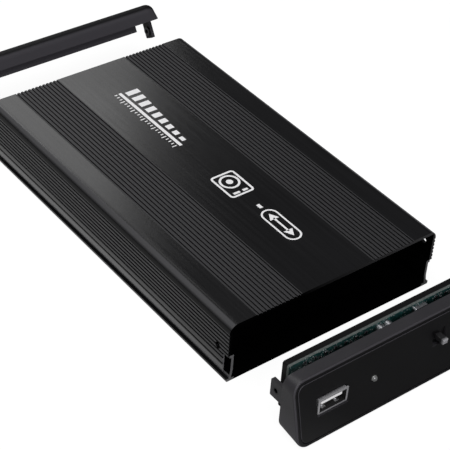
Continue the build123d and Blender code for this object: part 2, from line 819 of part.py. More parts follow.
def make_sata_receptacle():
    """The receptacle behind the board; its nose enters the drive's connector."""
    body = block(-sata_width / 2, sata_width / 2, board_back, receptacle_end, sata_z - sata_height / 2,
                 sata_z + sata_height / 2)
    nose = block(-sata_nose_width / 2, sata_nose_width / 2, receptacle_end, nose_end,
                 sata_z - sata_nose_height / 2, sata_z + sata_nose_height / 2)
    slot_half = blade_thickness / 2 + plug_gap
    slots = [block(x0, x1, receptacle_end - blade_slot_depth, nose_end + past,
                   sata_z - slot_half, sata_z + slot_half)
             for x0, x1 in blade_spans(plug_gap)]
    receptacle = body + nose
    for slot in slots:
        receptacle -= slot
    return receptacle


def blade_spans(margin):
    """The two contact blades, signal and power, as spans in X."""
    return [(x0 - margin, x1 + margin) for x0, x1 in blade_ends]


# ---------------------------------------------------------------- bare drive, built where it plugs in
drive_width = 2 * (tray_inner - drive_side_room)
drive_end = receptacle_end + drive_plug_gap
drive_far_end = drive_end + drive_length
drive_top = inner_top - drive_top_room
base_top = drive_top - drive_cover_thickness - gasket_thickness
cavity_bottom = drive_bottom + drive_base_floor
# the platters are as large as the casting's width and length both allow
actuator_length = plug_end_wall + room_margin + coil_outer_radius + pivot_rim_gap
well_from_width = drive_width / 2 - well_side_wall
well_from_length = (drive_length - actuator_length - well_end_wall + well_rim_gap) / 2
well_radius = min(well_from_width, well_from_length)
platter_radius = well_radius - well_rim_gap
park_radius = platter_radius + park_rim_gap
spindle_y = drive_far_end - well_end_wall - well_radius
room_half_width = drive_width / 2 - room_side_wall
pivot_x = room_half_width - coil_outer_radius - coil_wall_gap
pivot_y = spindle_y - platter_radius - pivot_rim_gap
pcb_width = drive_width - 2 * pcb_side_wall
pivot_to_spindle = hypot(pivot_x, pivot_y - spindle_y)
spindle_bearing = degrees(atan2(spindle_y - pivot_y, -pivot_x))
lower_platter_z = drive_bottom + lower_platter_height
upper_platter_z = lower_platter_z + platter_thickness + platter_gap
stack_top = upper_platter_z + platter_thickness


def arm_angle(track_radius):
    """Angle at the pivot between the arm and the line to the spindle, for a head at this radius."""
    sides = pivot_to_spindle ** 2 + arm_length ** 2 - track_radius ** 2
    cosine = sides / (2 * pivot_to_spindle * arm_length)
    return degrees(atan2((1 - cosine ** 2) ** 0.5, cosine))


parked_bearing = spindle_bearing + arm_angle(park_radius)
arm_sweep = arm_angle(park_radius) - arm_angle(inner_track_radius)


def well_outline(margin=0.0):
    """The hollow in the base: a round well for the platters and a room for the actuator."""
    well = Pos(0, spindle_y) * Circle(well_radius + margin)
    y0 = pivot_y - coil_outer_radius - room_margin - margin
    room = Pos(0, (y0 + spindle_y) / 2) * Rectangle(2 * (room_half_width + margin), spindle_y - y0)
    return well + fillet(room.vertices().sort_by(Axis.Y)[:2], room_corner_radius + margin)


def wall_outline():
    return Pos(0, (drive_end + drive_far_end) / 2) * Rectangle(drive_width, drive_length)


def make_drive_base():
    body = slab_z(fillet(wall_outline().vertices(), drive_corner_radius), drive_bottom, base_top)
    body -= slab_z(well_outline(), cavity_bottom, base_top + past)
    half = pcb_width / 2 + pcb_pocket_gap
    pocket_top = drive_bottom + pcb_pocket_depth
    body -= block(-half, half, drive_end - past, drive_end + pcb_end_gap + pcb_length + pcb_pocket_gap,
                  drive_bottom - past, pocket_top)
    # room for the connector in the end wall
    half = sata_width / 2 + plug_wall + plug_room
    body -= block(-half, half, drive_end - past, drive_end + plug_setback + plug_length + plug_room,
                  drive_bottom - past, plug_top + plug_room)
    # seat of the spindle motor, seen from below, and the bores for its shaft and the pivot post
    body -= rod_z(motor_radius, drive_bottom - past, drive_bottom + motor_height, 0, spindle_y)
    body -= rod_z(shaft_radius, drive_bottom, cavity_bottom + past, 0, spindle_y)
    body -= rod_z(pivot_post_radius, pocket_top, cavity_bottom + past, pivot_x, pivot_y)
    for x, y in cover_screw_places():
        body -= rod_z(cover_screw_radius, base_top - cover_screw_bite - cover_screw_end_gap,
                      base_top + past, x, y)
    for x, y in pcb_screw_places():
        body -= rod_z(cover_screw_radius, pocket_top - past,
                      pocket_top + pcb_screw_bite + cover_screw_end_gap, x, y)
    return body


def cover_screw_places():
    ends = (drive_end + cover_screw_inset, drive_far_end - cover_screw_inset)
    places = [(side * (drive_width / 2 - cover_screw_inset), y) for side in (-1, 1) for y in ends]
    middle = pivot_y + cover_screw_from_pivot
    return places + [(side * (drive_width / 2 - cover_screw_middle_inset), middle) for side in (-1, 1)]


def pcb_screw_places():
    y0, y1 = drive_end + pcb_screw_from_end, drive_end + pcb_length - pcb_screw_inset
    return [(side * (pcb_width / 2 - pcb_screw_inset), y) for side in (-1, 1) for y in (y0, y1)]


def make_drive_gasket():
    ring = offset(well_outline(), gasket_width) - well_outline()
    return slab_z(ring & wall_outline(), base_top, base_top + gasket_thickness)


cover_seat = drive_top - cover_screw_head


def make_drive_cover():
    low = base_top + gasket_thickness
    cover = slab_z(fillet(wall_outline().vertices(), drive_corner_radius), low, drive_top)
    # the border is pressed down a step round a raised field
    field = well_outline(-drive_cover_step * 4)
    border = slab_z(wall_outline() - field, drive_top - drive_cover_step, drive_top + past)
    cover -= border
    for x, y in cover_screw_places():
        cover -= rod_z(cover_screw_radius + cover_screw_gap, low - past, drive_top + past, x, y)
        cover -= rod_z(cover_screw_head_radius + cover_screw_gap, cover_seat, drive_top + past, x, y)
    return cover


def make_cover_screws():
    reach = cover_seat - base_top + cover_screw_bite
    screw = pan_screw(cover_screw_head_radius, cover_screw_head, cover_screw_radius, reach)
    return [Pos(x, y, cover_seat) * screw for x, y in cover_screw_places()]


def make_spindle_motor():
    """The stator plate in the base's underside, with the fixed shaft that carries the hub."""
    low = drive_bottom + motor_recess
    plate = rod_z(motor_radius, low, drive_bottom + motor_height, 0, spindle_y)
    return plate + rod_z(shaft_radius, low, stack_top + clamp_thickness - shaft_step, 0, spindle_y)


def make_spindle_hub():
    hub = rod_z(hub_radius, cavity_bottom + hub_foot_gap, stack_top, 0, spindle_y)
    hub += rod_z(hub_flange_radius, lower_platter_z - hub_flange_thickness, lower_platter_z, 0, spindle_y)
    return hub - rod_z(shaft_radius + running_gap, drive_bottom, stack_top + past, 0, spindle_y)


def make_platter(z):
    disc = rod_z(platter_radius, z, z + platter_thickness, 0, spindle_y)
    return disc - rod_z(hub_radius, z - past, z + platter_thickness + past, 0, spindle_y)


def make_platter_spacer():
    low = lower_platter_z + platter_thickness
    ring = rod_z(hub_flange_radius, low, upper_platter_z, 0, spindle_y)
    return ring - rod_z(hub_radius, low - past, upper_platter_z + past, 0, spindle_y)


def make_platter_clamp():
    top = stack_top + clamp_thickness
    ring = rod_z(clamp_radius, stack_top, top, 0, spindle_y)
    ring -= rod_z(shaft_radius + clamp_bore_gap, stack_top - past, top + past, 0, spindle_y)
    for i in range(clamp_pit_count):
        angle = 2 * pi * i / clamp_pit_count
        x, y = clamp_pit_circle * cos(angle), clamp_pit_circle * sin(angle)
        ring -= rod_z(clamp_pit_radius, stack_top + clamp_pit_floor, top + past, x, spindle_y + y)
    return ring


def arm_levels():
    """Undersides of the three arms: below, between and above the platters."""
    low = lower_platter_z - platter_gap / 2 - arm_thickness / 2
    step = platter_gap + platter_thickness
    return [low + i * step for i in range(3)]


barrel_low = cavity_bottom + barrel_gap
barrel_high = arm_levels()[-1] + arm_thickness + barrel_cap
coil_low = (barrel_low + barrel_high) / 2 - coil_thickness / 2
coil_high = coil_low + coil_thickness


def at_pivot(bearing, shape):
    """Swing a shape built along +X from the origin to a bearing at the pivot."""
    return Pos(pivot_x, pivot_y, 0) * Rot(0, 0, bearing) * shape


def sector(inner, outer, half_angle):
    """A ring sector about the origin, centred on -X."""
    ring = Circle(outer) - Circle(inner)
    reach = 2 * outer
    spread = tan(radians(half_angle)) * reach
    return ring & Polygon((0, 0), (-reach, spread), (-reach, -spread), align=None)


def make_actuator_arm():
    body = rod_z(barrel_radius, barrel_low, barrel_high)
    reach = arm_length - slider_length / 2
    outline = Polygon((0, -arm_root_half_width), (reach, -arm_tip_half_width), (reach, arm_tip_half_width),
                      (0, arm_root_half_width), align=None)
    outline -= Pos(arm_slot_place, 0) * SlotOverall(arm_slot_length, arm_slot_width)
    for z in arm_levels():
        body += slab_z(outline, z, z + arm_thickness)
    # a fork that holds the coil on the other side of the pivot
    fork = sector(barrel_radius / 2, coil_outer_radius, coil_half_angle + coil_fork_angle)
    fork -= sector(coil_inner_radius, coil_outer_radius + past, coil_half_angle)
    body += slab_z(fork, coil_low, coil_high)
    body -= rod_z(pivot_post_radius + running_gap, barrel_low - past, barrel_high + past)
    return at_pivot(parked_bearing, body)


def make_voice_coil():
    outline = sector(coil_inner_radius, coil_outer_radius, coil_half_angle)
    window = sector(coil_inner_radius + coil_limb, coil_outer_radius - coil_limb, coil_window_angle)
    return at_pivot(parked_bearing, slab_z(outline - window, coil_low, coil_high))


def make_head_sliders():
    """One small slider near the tip of each arm, on each side that faces a platter."""
    low, middle, high = arm_levels()
    undersides = [low + arm_thickness, middle - slider_thickness, middle + arm_thickness,
                  high - slider_thickness]
    x0 = arm_length - slider_setback - slider_length
    return [at_pivot(parked_bearing, block(x0, x0 + slider_length, -slider_width / 2, slider_width / 2, z,
                                           z + slider_thickness)) for z in undersides]


def make_pivot_post():
    low = drive_bottom + pcb_pocket_depth + pivot_post_floor
    return rod_z(pivot_post_radius, low, barrel_high + pivot_post_stands_out, pivot_x, pivot_y)


coil_bearing = parked_bearing - arm_sweep / 2
fork_reach_angle = coil_half_angle + coil_fork_angle + arm_sweep / 2


def magnet_outline():
    """Covers the coil over the whole sweep of the arm, in place at the pivot."""
    outline = sector(coil_inner_radius + magnet_margin, coil_outer_radius + magnet_margin,
                     fork_reach_angle + magnet_end_angle)
    return at_pivot(coil_bearing, outline) & well_outline(-wall_gap)


def make_lower_magnet():
    return slab_z(magnet_outline(), cavity_bottom, coil_low - magnet_gap)


def make_upper_magnet():
    low = coil_high + magnet_gap
    return slab_z(magnet_outline(), low, low + magnet_thickness)


def make_magnet_posts():
    """Two posts beyond the coil's sweep that carry the upper magnet plate on the lower one."""
    post = rod_z(magnet_post_radius, coil_low - magnet_gap, coil_high + magnet_gap, -magnet_post_circle, 0)
    spread = fork_reach_angle + magnet_post_angle
    return [at_pivot(coil_bearing + angle, post) for angle in (-spread, spread)]


def make_head_ramp():
    """The comb that the heads park on, just outside the platters' rim."""
    x1 = arm_length + slider_length
    comb = block(x1 - ramp_length, x1, -ramp_width / 2, ramp_width / 2, cavity_bottom,
                 arm_levels()[-1] + arm_thickness + ramp_cap)
    return at_pivot(parked_bearing + ramp_angle, comb)


def make_air_filter():
    x0 = filter_inset - room_half_width
    y0 = pivot_y - filter_from_pivot
    return block(x0, x0 + filter_length, y0, y0 + filter_width, cavity_bottom, cavity_bottom + filter_height)


pcb_low = drive_bottom + pcb_recess
pcb_high = pcb_low + pcb_thickness
plug_top = sata_z + sata_height / 2 + plug_top_wall


def make_drive_board():
    outline = Pos(0, drive_end + pcb_end_gap + pcb_length / 2) * Rectangle(pcb_width, pcb_length)
    board = slab_z(outline, pcb_low, pcb_high)
    for x, y in pcb_screw_places():
        board -= rod_z(cover_screw_radius + cover_screw_gap, pcb_low - past, pcb_high + past, x, y)
    return board - rod_z(motor_radius + pcb_motor_gap, pcb_low - past, pcb_high + past, 0, spindle_y)


def make_drive_board_chips():
    """The controller, the memory and the motor driver, between the board and the casting."""
    return [block(x - width / 2, x + width / 2, drive_end + y - length / 2, drive_end + y + length / 2,
                  pcb_high, pcb_high + pcb_chip_thickness) for x, y, width, length in pcb_chips]


def make_drive_board_screws():
    reach = pcb_pocket_depth - pcb_recess + pcb_screw_bite
    screw = pan_screw(pcb_screw_head_radius, pcb_screw_head, cover_screw_radius, reach)
    return [Pos(x, y, pcb_low) * Rot(180, 0, 0) * screw for x, y in pcb_screw_places()]


def make_drive_connector():
    """The drive's own connector on the board's edge: a housing open towards -Y with two contact blades."""
    half = sata_width / 2 + plug_wall
    front, back = drive_end + plug_setback, drive_end + plug_setback + plug_length
    pocket_half_x, pocket_half_z = sata_nose_width / 2 + plug_gap, sata_nose_height / 2 + plug_gap
    pocket_end = drive_end + sata_nose + plug_gap
    housing = block(-half, half, front, back, pcb_high, plug_top)
    housing -= block(-pocket_half_x, pocket_half_x, front - past, pocket_end, sata_z - pocket_half_z,
                     sata_z + pocket_half_z)
    for x0, x1 in blade_spans(0.0):
        housing += block(x0, x1, front + plug_setback, pocket_end + past, sata_z - blade_thickness / 2,
                         sata_z + blade_thickness / 2)
    return housing


# ---------------------------------------------------------------- drawn-off places
def with_front_cap(shape):
    return [Pos(0, -front_draw, 0) * solid for solid in solids_of(shape)]


def with_rear_inserts(shape):
    return [Pos(0, rear_draw, 0) * solid for solid in solids_of(shape)]


def with_rear_cap(shape):
    """Tip about the ears' screw axis, then draw off along the shell."""
    axis_y, axis_z = rear_ears[0].axis_y, rear_ears[0].height
    place = Pos(0, axis_y + rear_draw, axis_z) * Rot(rear_tip, 0, 0) * Pos(0, -axis_y, -axis_z)
    return [place * solid for solid in solids_of(shape)]


def with_drive(shape):
    return [Pos(0, drive_push_back, 0) * solid for solid in solids_of(shape)]


def in_place(shape):
    return solids_of(shape)


nodes = {
    "upper_shell": (in_place, make_upper_shell),
    "lower_shell": (in_place, make_lower_shell),
    "front_cap": (with_front_cap, make_front_cap),
    "front_ear_inserts": (with_front_cap, lambda: [ear.insert(0.0) for ear in front_ears]),
    "bridge_board": (with_front_cap, make_bridge_board),
    "board_backplate": (with_front_cap, make_board_backplate),
    "board_screws": (with_front_cap, make_board_screws),
    "bridge_chip": (with_front_cap, make_bridge_chip),
    "board_capacitors": (with_front_cap, make_board_capacitors),
    "board_crystal": (with_front_cap, make_board_crystal),
    "board_small_parts": (with_front_cap, make_small_parts),
    "usb_shell": (with_front_cap, make_usb_shell),
    "usb_tongue": (with_front_cap, make_usb_tongue),
    "usb_contacts": (with_front_cap, make_usb_contacts),
    "activity_led": (with_front_cap, make_led),
    "power_switch_body": (with_front_cap, make_switch_body),
    "power_button": (with_front_cap, make_power_button),
    "dc_jack_body": (with_front_cap, make_jack_body),
    "dc_jack_pin": (with_front_cap, make_jack_pin),
    "sata_receptacle": (with_front_cap, make_sata_receptacle),
    "rear_ear_inserts": (with_rear_inserts, lambda: [ear.insert(pivot_gap) for ear in rear_ears]),
    "rear_cap": (with_rear_cap, make_rear_cap),
    "drive_base": (with_drive, make_drive_base),
    "drive_gasket": (with_drive, make_drive_gasket),
    "drive_cover": (with_drive, make_drive_cover),
    "drive_cover_screws": (with_drive, make_cover_screws),
    "spindle_motor": (with_drive, make_spindle_motor),
    "pivot_post": (with_drive, make_pivot_post),
    "lower_magnet": (with_drive, make_lower_magnet),
    "upper_magnet": (with_drive, make_upper_magnet),
    "magnet_posts": (with_drive, make_magnet_posts),
    "head_ramp": (with_drive, make_head_ramp),
    "air_filter": (with_drive, make_air_filter),
    "drive_board": (with_drive, make_drive_board),
    "drive_board_chips": (with_drive, make_drive_board_chips),
    "drive_board_screws": (with_drive, make_drive_board_screws),
    "drive_connector": (with_drive, make_drive_connector),
    "spindle_hub": (with_drive, make_spindle_hub),
    "lower_platter": (with_drive, lambda: make_platter(lower_platter_z)),
    "platter_spacer": (with_drive, make_platter_spacer),
    "upper_platter": (with_drive, lambda: make_platter(upper_platter_z)),
    "platter_clamp": (with_drive, make_platter_clamp),
    "actuator_arm": (with_drive, make_actuator_arm),
    "voice_coil": (with_drive, make_voice_coil),
    "head_sliders": (with_drive, make_head_sliders),
}

os.makedirs("parts", exist_ok=True)
for name, (place, make) in nodes.items():
    solids = place(make())
    export_step(solids[0] if len(solids) == 1 else Compound(children=solids), f"parts/{name}.step")

print("front draw", front_draw, "rear draw", rear_draw, "rear tip", rear_tip)
print("arm sweep %.2f deg" % arm_sweep, "spindle at", (0, round(spindle_y + drive_push_back, 3)),
      "pivot at", (pivot_x, round(pivot_y + drive_push_back, 3)))
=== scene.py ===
"""An external 3.5 inch hard disk drive, drawn apart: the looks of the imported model."""
import json
import math

import bmesh
import bpy
from mathutils import Matrix, Vector


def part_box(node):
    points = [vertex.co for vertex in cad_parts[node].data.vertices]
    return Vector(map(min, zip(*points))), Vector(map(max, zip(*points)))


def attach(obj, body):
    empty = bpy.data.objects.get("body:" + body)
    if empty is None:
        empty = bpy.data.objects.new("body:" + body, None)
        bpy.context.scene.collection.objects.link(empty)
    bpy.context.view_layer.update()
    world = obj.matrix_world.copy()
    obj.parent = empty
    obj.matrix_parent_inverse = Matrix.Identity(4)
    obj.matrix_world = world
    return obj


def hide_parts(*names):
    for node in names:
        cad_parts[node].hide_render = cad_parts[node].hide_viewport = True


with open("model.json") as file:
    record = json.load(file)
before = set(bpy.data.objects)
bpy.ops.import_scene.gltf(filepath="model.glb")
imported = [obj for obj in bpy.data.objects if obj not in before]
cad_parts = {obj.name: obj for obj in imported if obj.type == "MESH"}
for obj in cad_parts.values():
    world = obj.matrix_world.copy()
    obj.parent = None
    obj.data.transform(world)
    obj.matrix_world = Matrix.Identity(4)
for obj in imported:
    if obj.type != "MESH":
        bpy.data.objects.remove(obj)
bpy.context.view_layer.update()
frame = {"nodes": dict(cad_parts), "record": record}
nodes = frame["nodes"]
MM = 0.001

# ---------------------------------------------------------------- camera
CAMERA_AZIMUTH = math.radians(-39.7)
CAMERA_ELEVATION = math.radians(38.5)
CAMERA_ROLL = math.radians(4.21)
CAMERA_DISTANCE = 0.708
CAMERA_SIDE = 0.0113
CAMERA_RISE = -0.0041
CAMERA_LENS = 119.44
CAMERA_SENSOR = 36.0
CAMERA_NEAR = 0.01


def make_camera():
    """A camera that looks at the shell from the front left and above, a little tilted."""
    sin_a, cos_a = math.sin(CAMERA_AZIMUTH), math.cos(CAMERA_AZIMUTH)
    sin_e, cos_e = math.sin(CAMERA_ELEVATION), math.cos(CAMERA_ELEVATION)
    back = Vector((sin_a * cos_e, -cos_a * cos_e, sin_e))
    level = Vector((cos_a, sin_a, 0))
    upright = back.cross(level)
    right = level * math.cos(CAMERA_ROLL) + upright * math.sin(CAMERA_ROLL)
    up = upright * math.cos(CAMERA_ROLL) - level * math.sin(CAMERA_ROLL)
    data = bpy.data.cameras.new("camera")
    data.lens = CAMERA_LENS
    data.sensor_width = CAMERA_SENSOR
    data.clip_start = CAMERA_NEAR
    camera = bpy.data.objects.new("camera", data)
    place = Matrix((right, up, back)).transposed().to_4x4()
    place.translation = back * CAMERA_DISTANCE + right * CAMERA_SIDE + up * CAMERA_RISE
    camera.matrix_world = place
    bpy.context.scene.collection.objects.link(camera)
    bpy.context.scene.camera = camera


# ---------------------------------------------------------------- node helpers
MIDDLE = (0.3, 0.7)     # a noise's value lies between these nearly everywhere
WIDE = (0.25, 0.75)


class Material:
    """A node material with one Principled shader, and short calls that add nodes to it."""

    def __init__(self, name, color=(0.5, 0.5, 0.5), roughness=0.5, metallic=0.0, specular=0.5, coat=0.0):
        self.data = bpy.data.materials.new(name)
        self.data.use_nodes = True
        self.tree = self.data.node_tree
        self.shader = self.tree.nodes["Principled BSDF"]
        self.set("Base Color", (*color, 1.0))
        self.set("Roughness", roughness)
        self.set("Metallic", metallic)
        self.set("Specular IOR Level", specular)
        self.set("Coat Weight", coat)
        self.relief = None
        self.data.diffuse_color = (*color, 1.0)

    def set(self, socket, value):
        self.shader.inputs[socket].default_value = value

    def node(self, kind, **settings):
        node = self.tree.nodes.new(kind)
        for key, value in settings.items():
            setattr(node, key, value)
        return node

    def link(self, output, target):
        self.tree.links.new(output, target)

    def feed(self, target, value):
        """Give a socket a number, a vector or another node's output."""
        if isinstance(value, bpy.types.NodeSocket):
            self.link(value, target)
        else:
            target.default_value = value

    # places and directions
    def coords(self, scale=(1, 1, 1)):
        """Object coordinates in metres, times a scale for each axis."""
        source = self.node("ShaderNodeTexCoord")
        mapping = self.node("ShaderNodeMapping")
        mapping.inputs["Scale"].default_value = scale
        self.link(source.outputs["Object"], mapping.inputs["Vector"])
        return mapping.outputs["Vector"]

    def part(self, vector, letter):
        split = self.node("ShaderNodeSeparateXYZ")
        self.link(vector, split.inputs[0])
        return split.outputs[letter]

    def place(self, letter):
        """One of the object coordinates, in metres."""
        return self.part(self.coords(), letter)

    def facing(self, letter):
        """One component of the surface normal."""
        return self.part(self.node("ShaderNodeNewGeometry").outputs["Normal"], letter)

    # textures
    def noise(self, scale, stretch=(1, 1, 1), detail=3.0):
        node = self.node("ShaderNodeTexNoise")
        node.inputs["Scale"].default_value = scale
        node.inputs["Detail"].default_value = detail
        self.link(self.coords(stretch), node.inputs["Vector"])
        return node.outputs["Fac"]

    def voronoi(self, scale, stretch=(1, 1, 1), feature="F1"):
        node = self.node("ShaderNodeTexVoronoi", feature=feature)
        node.inputs["Scale"].default_value = scale
        self.link(self.coords(stretch), node.inputs["Vector"])
        return node.outputs["Distance"]

    # sums
    def math(self, operation, first, second=0.0):
        node = self.node("ShaderNodeMath", operation=operation)
        self.feed(node.inputs[0], first)
        self.feed(node.inputs[1], second)
        return node.outputs[0]

    def plus(self, first, second):
        return self.math("ADD", first, second)

    def minus(self, first, second):
        return self.math("SUBTRACT", first, second)

    def times(self, first, second):
        return self.math("MULTIPLY", first, second)

    def absolute(self, value):
        return self.math("ABSOLUTE", value)

    def range(self, value, old, new=(0.0, 1.0)):
        """Map a value from one range to another, and hold it at the ends."""
        node = self.node("ShaderNodeMapRange")
        self.feed(node.inputs["Value"], value)
        for key, number in zip(("From Min", "From Max", "To Min", "To Max"), (*old, *new)):
            node.inputs[key].default_value = number
        return node.outputs["Result"]

    # masks, which are 1 inside and 0 outside
    def over(self, value, limit):
        return self.math("GREATER_THAN", value, limit)

    def under(self, value, limit):
        return self.math("LESS_THAN", value, limit)

    def between(self, value, ends):
        return self.both(self.over(value, ends[0]), self.under(value, ends[1]))

    def both(self, first, *others):
        """Inside all of the masks."""
        for other in others:
            first = self.times(first, other)
        return first

    def either(self, first, second):
        return self.math("MAXIMUM", first, second)

    def outside(self, mask):
        return self.minus(1.0, mask)

    # colours
    def mix(self, factor, first, second):
        """A colour between two colours."""
        node = self.node("ShaderNodeMix", data_type="RGBA")
        self.feed(node.inputs["Factor"], factor)
        self.feed(node.inputs["A"], (*first, 1.0) if isinstance(first, tuple) else first)
        self.feed(node.inputs["B"], (*second, 1.0) if isinstance(second, tuple) else second)
        return node.outputs["Result"]

    def shades(self, noise, pair, ends=MIDDLE):
        """A colour that wanders between two shades with a noise."""
        return self.mix(self.range(noise, ends), *pair)

    # what the shader takes
    def color(self, output):
        self.link(output, self.shader.inputs["Base Color"])

    def roughness(self, output):
        self.link(output, self.shader.inputs["Roughness"])

    def specular(self, output):
        self.link(output, self.shader.inputs["Specular IOR Level"])

    def bump(self, height, distance, edge=0.0):
        """Add relief up to a distance in metres. The first call can also round sharp edges."""
        node = self.node("ShaderNodeBump")
        node.inputs["Distance"].default_value = distance
        node.inputs["Strength"].default_value = 1.0
        self.link(height, node.inputs["Height"])
        if self.relief is not None:
            self.link(self.relief, node.inputs["Normal"])
        elif edge > 0:
            bevel = self.node("ShaderNodeBevel", samples=6)
            bevel.inputs["Radius"].default_value = edge
            self.link(bevel.outputs["Normal"], node.inputs["Normal"])
        self.relief = node.outputs["Normal"]
        self.link(self.relief, self.shader.inputs["Normal"])


# ---------------------------------------------------------------- the shell's material
HALF_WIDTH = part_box("upper_shell")[1].x
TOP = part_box("upper_shell")[1].z
INSIDE_HALF_WIDTH = HALF_WIDTH - 1.5 * MM
INSIDE_TOP = TOP - 1.6 * MM
TRAY_END_LOW = HALF_WIDTH - 3.9 * MM
TRAY_END_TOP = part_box("lower_shell")[1].z + 0.1 * MM
TOP_RIBS = (19.6 * MM, HALF_WIDTH - 13.6 * MM)
SIDE_RIBS = (10.6 * MM, TOP - 4.2 * MM)
BAND_TOP = TOP - 1.5 * MM
STRIP = (2.0 * MM, 8.0 * MM)
# painted shadow: a dark band just below the lip of the side walls, partly over the groove there
LIP_SHADOW = (7.1 * MM, 8.6 * MM)
SIDE_FACING = 0.5                 # a surface faces sideways where its normal leans this far
END_FACING = 0.9
EDGE_STARTS = (0.2, 0.36)         # painted highlight along the round edge, by how far the normal leans
EDGE_STOPS = (0.68, 0.88)
END_HIGHLIGHT_PART = (-20 * MM, 50 * MM)   # painted highlight: the walls' end faces grow paler towards their right end
AHEAD = (-20 * MM, 40 * MM)       # the front half reflects less along the round edges
AHEAD_LEAN = (0.01, 0.08)

SATIN_SHADES = ((0.0035, 0.0035, 0.0037), (0.0065, 0.0065, 0.0071))
MATT_SHADES = ((0.013, 0.0129, 0.0142), (0.021, 0.0208, 0.0228))
# painted reflection: the smooth strip low on the side walls gets a much paler colour, standing in for the
# pale floor it reflects
STRIP_REFLECTION_SHADES = ((0.05, 0.05, 0.052), (0.075, 0.075, 0.078))
EDGE_HIGHLIGHT = (0.068, 0.068, 0.07)
LIP_SHADOW_SHADE = (0.002, 0.002, 0.002)
INSIDE_SHADOW_AND_END_BLACK = (0.0012, 0.0012, 0.0013)
END_HIGHLIGHT_SHADE = (0.06, 0.06, 0.06)
CUT_SHADE = (0.16, 0.16, 0.16)
SATIN_GLOSS = 0.6
LIP_SHADOW_GLOSS_LOSS = 0.5
BAND_GLOSS_LOSS = (0.52, 0.38)
AHEAD_GLOSS_LOSS = 0.6            # as a share
RIB_ROUGHNESS = 0.3


def anodised_black():
    """Black anodised extrusion: satin bands and matt ribs, a pale bare cut on the tray's ends, painted
    highlights on the round edges and end faces, a painted reflection on the strip, a painted shadow under the
    lip and painted shade inside.
    """
    m = Material("anodised_black", (0.012, 0.012, 0.0125), 0.2, specular=SATIN_GLOSS)
    drawn = m.noise(900, (1, 0.012, 1), 4.0)
    grain = m.noise(5200, detail=2.0)
    cloud = m.noise(28, (1, 0.5, 1))
    far, height = m.absolute(m.place("X")), m.place("Z")
    lean = m.absolute(m.facing("X"))
    sideways = m.over(lean, SIDE_FACING)
    upwards = m.outside(sideways)
    end = m.over(m.absolute(m.facing("Y")), END_FACING)

    ribs = m.either(m.both(upwards, m.between(far, TOP_RIBS)), m.both(sideways, m.between(height, SIDE_RIBS)))
    strip = m.both(sideways, m.between(height, STRIP))
    # painted shadow under the lip, darker and less glossy
    lip_shadow = m.both(sideways, m.between(height, LIP_SHADOW))
    # painted highlight: the round top edges are paler where they would catch the light
    edge = m.both(m.range(lean, EDGE_STARTS), m.range(lean, EDGE_STOPS, (1.0, 0.0)),
                  m.over(height, SIDE_RIBS[1]))
    # painted shade: within the walls and under the top the shell is near black and without gloss; the end
    # faces share this dark colour as their own
    within = m.both(m.under(far, INSIDE_HALF_WIDTH), m.under(height, INSIDE_TOP))
    dark = m.either(within, end)
    # painted highlight on the walls' end faces, growing towards the right
    end_highlight = m.both(end, m.outside(within), m.range(m.place("X"), END_HIGHLIGHT_PART))
    cut = m.both(end, m.over(far, TRAY_END_LOW), m.under(height, TRAY_END_TOP))

    streaks = m.plus(m.range(drawn, MIDDLE, (-0.18, 0.18)), m.range(cloud, MIDDLE, (-0.1, 0.1)))
    surface = m.mix(ribs, m.shades(streaks, SATIN_SHADES, (-0.3, 0.3)), m.shades(grain, MATT_SHADES))
    # painted reflection on the strip
    surface = m.mix(strip, surface, m.shades(grain, STRIP_REFLECTION_SHADES))
    for mask, shade in ((edge, EDGE_HIGHLIGHT), (lip_shadow, LIP_SHADOW_SHADE), (dark, INSIDE_SHADOW_AND_END_BLACK), (end_highlight, END_HIGHLIGHT_SHADE),
                        (cut, CUT_SHADE)):
        surface = m.mix(mask, surface, shade)
    m.color(surface)

    side_band = m.both(sideways, m.over(height, SIDE_RIBS[1]))
    band_loss = m.range(height, (SIDE_RIBS[1], BAND_TOP), BAND_GLOSS_LOSS)
    ahead = m.both(upwards, m.range(lean, AHEAD_LEAN), m.range(m.place("Y"), AHEAD, (1.0, 0.0)))
    gloss = m.minus(SATIN_GLOSS, m.times(side_band, band_loss))
    gloss = m.minus(gloss, m.times(lip_shadow, LIP_SHADOW_GLOSS_LOSS))
    gloss = m.times(gloss, m.outside(m.times(ahead, AHEAD_GLOSS_LOSS)))
    m.specular(m.times(m.outside(dark), gloss))
    smooth = m.plus(m.range(drawn, MIDDLE, (0.15, 0.21)), m.range(cloud, MIDDLE, (-0.02, 0.03)))
    m.roughness(m.plus(smooth, m.times(ribs, RIB_ROUGHNESS)))
    m.bump(drawn, 0.006 * MM, edge=0.12 * MM)
    m.bump(grain, 0.006 * MM)
    return m.data


# ---------------------------------------------------------------- the caps' material
FRONT_CAP_SHADES = ((0.017, 0.0161, 0.0186), (0.0245, 0.0234, 0.0267))
# painted highlight: the foot of the front cap's left end is paler, where light falls on it
FRONT_CAP_LIT = (0.056, 0.054, 0.061)
FRONT_CAP_GLOSS = 0.4
# painted shade: the rear cap is the same plastic as the front cap, painted much darker
REAR_CAP_SHADED_TONES = ((0.006, 0.0058, 0.0066), (0.0064, 0.0062, 0.007))
REAR_CAP_LIT = (0.0062, 0.006, 0.0068)
REAR_CAP_GLOSS = 0.14
PANEL_SHADES = ((0.0036, 0.0036, 0.0039), (0.0052, 0.0052, 0.0057))
# painted highlight: the rim round the front panel is paler, where it catches the light
RIM_HIGHLIGHT = (0.05, 0.048, 0.054)
LIT_HEIGHTS = (17 * MM, 4 * MM)


